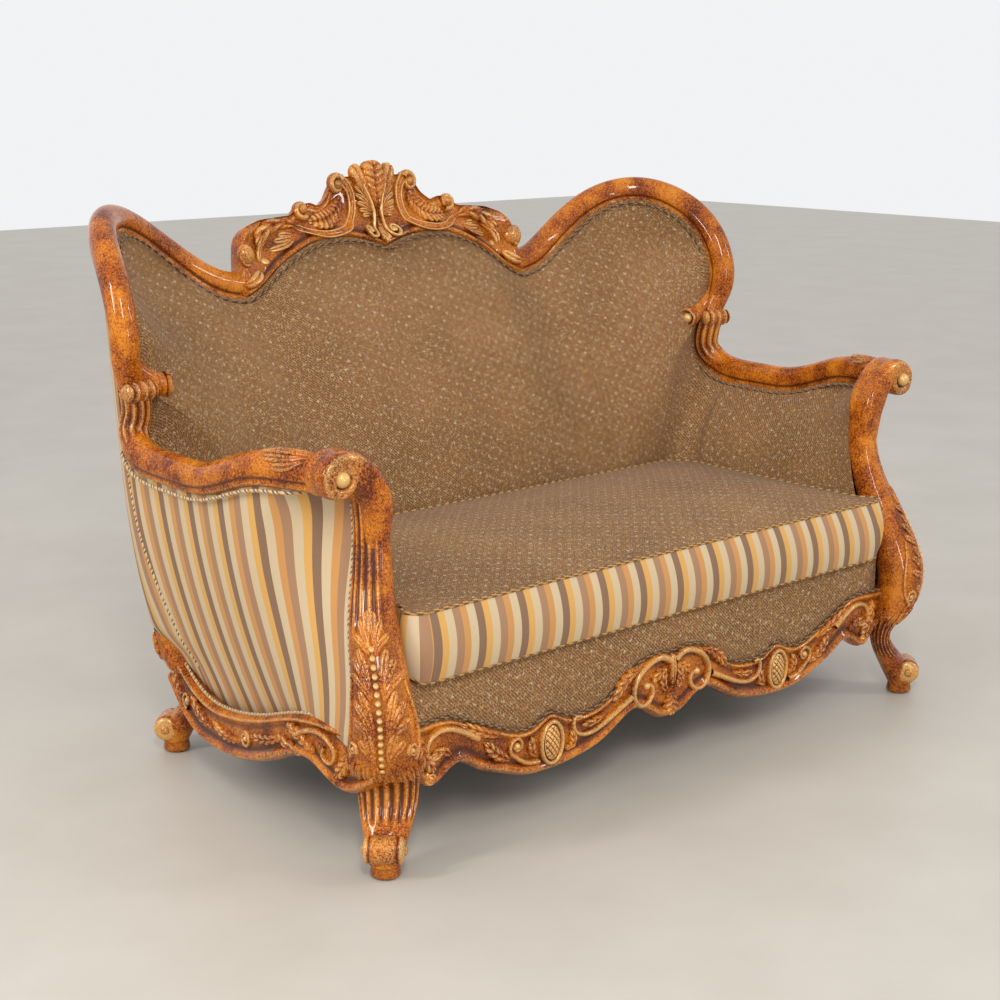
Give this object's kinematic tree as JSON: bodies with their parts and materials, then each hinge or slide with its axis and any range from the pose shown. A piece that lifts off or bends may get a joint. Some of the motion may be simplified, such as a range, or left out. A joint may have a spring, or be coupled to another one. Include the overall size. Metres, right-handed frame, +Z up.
{
  "type": "rococo sofa",
  "caption": "Rococo sofa with a carved show-wood frame, shaped ears and crest, cabriole legs, padded back and arms, and a loose boxed seat cushion.",
  "frame": {"origin": "on the floor, under the middle of the sofa's overall box", "axes": "+Z up, +X along the sofa to the right of someone facing it, -Y out of the front"},
  "size_m": [1.7026, 1.0528, 1.1498],
  "materials": {
    "carved_wood": "glossy mottled amber and red-brown varnish with gold on the raised carving",
    "brown_fabric": "taupe-brown twill with a lattice of small gold dots",
    "striped_fabric": "woven stripes in brown, gold, cream and tan",
    "piping_fabric": "bias-cut striped piping",
    "stuffing": "foam and wadding",
    "lining_cloth": "plain woven cloth",
    "inner_hardwood": "unfinished hardwood",
    "screw_steel": "plain steel",
    "glide_plastic": "matt"
  },
  "bodies": {
    "frame": {"arm_rail_left": "carved_wood", "arm_rail_right": "carved_wood", "back_stile_left": "inner_hardwood", "back_stile_right": "inner_hardwood", "corner_blocks": "inner_hardwood", "corner_screws": "screw_steel", "crest_cartouche": "carved_wood", "crest_rail": "carved_wood", "deck_border": "brown_fabric", "dust_cover": "lining_cloth", "ear_rail_left": "carved_wood", "ear_rail_right": "carved_wood", "foot_glides": "glide_plastic", "frame_dowels": "inner_hardwood", "front_apron": "carved_wood", "front_post_left": "carved_wood", "front_post_right": "carved_wood", "front_seat_rail": "inner_hardwood", "inside_arm_pad_left": "brown_fabric", "inside_arm_pad_right": "brown_fabric", "inside_back_pad": "brown_fabric", "outside_arm_cover_left": "striped_fabric", "outside_arm_cover_right": "striped_fabric", "outside_back_cover": "striped_fabric", "rear_apron": "carved_wood", "rear_leg_left": "carved_wood", "rear_leg_right": "carved_wood", "rear_seat_rail": "inner_hardwood", "seat_deck": "stuffing", "seat_stretcher": "inner_hardwood", "seat_webbing": "lining_cloth", "side_apron_left": "carved_wood", "side_apron_right": "carved_wood", "side_seat_rail_left": "inner_hardwood", "side_seat_rail_right": "inner_hardwood", "wing_stile_left": "inner_hardwood", "wing_stile_right": "inner_hardwood"},
    "seat_cushion": {"cushion_bottom_panel": "brown_fabric", "cushion_boxing": "striped_fabric", "cushion_core": "stuffing", "cushion_piping_bottom": "piping_fabric", "cushion_piping_top": "piping_fabric", "cushion_top_panel": "brown_fabric"}
  },
  "joints": [
    {"name": "cushion_lift", "type": "slide", "parent": "frame", "child": "seat_cushion", "axis": [0, 0, 1], "range_m": [0, 0.4]}
  ]
}
